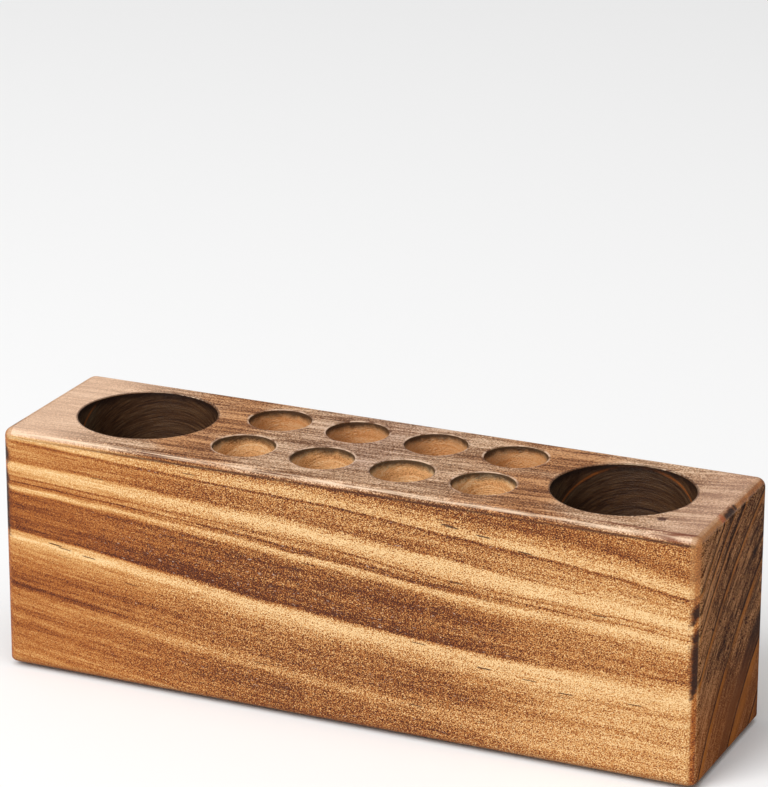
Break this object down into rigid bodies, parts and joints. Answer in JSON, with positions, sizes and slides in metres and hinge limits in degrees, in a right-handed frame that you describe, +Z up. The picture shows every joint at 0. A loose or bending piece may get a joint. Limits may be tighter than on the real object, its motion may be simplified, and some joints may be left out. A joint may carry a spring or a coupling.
{
  "type": "desk organizer",
  "caption": "Solid timber block with rounded edges, bored from above with wide and narrow round holes that hold pens and pencils upright.",
  "frame": {"origin": "centre of the footprint, on the desk surface that the feet stand on", "axes": "+X along the block's length, -Y out of its front face, +Z up, out of the bores"},
  "size_m": [0.21, 0.054, 0.0725],
  "materials": {
    "timber": "satin varnish",
    "rubber": "matt"
  },
  "bodies": {
    "root": {"block": "timber", "foot_front_left": "rubber", "foot_front_right": "rubber", "foot_rear_left": "rubber", "foot_rear_right": "rubber"}
  },
  "joints": []
}
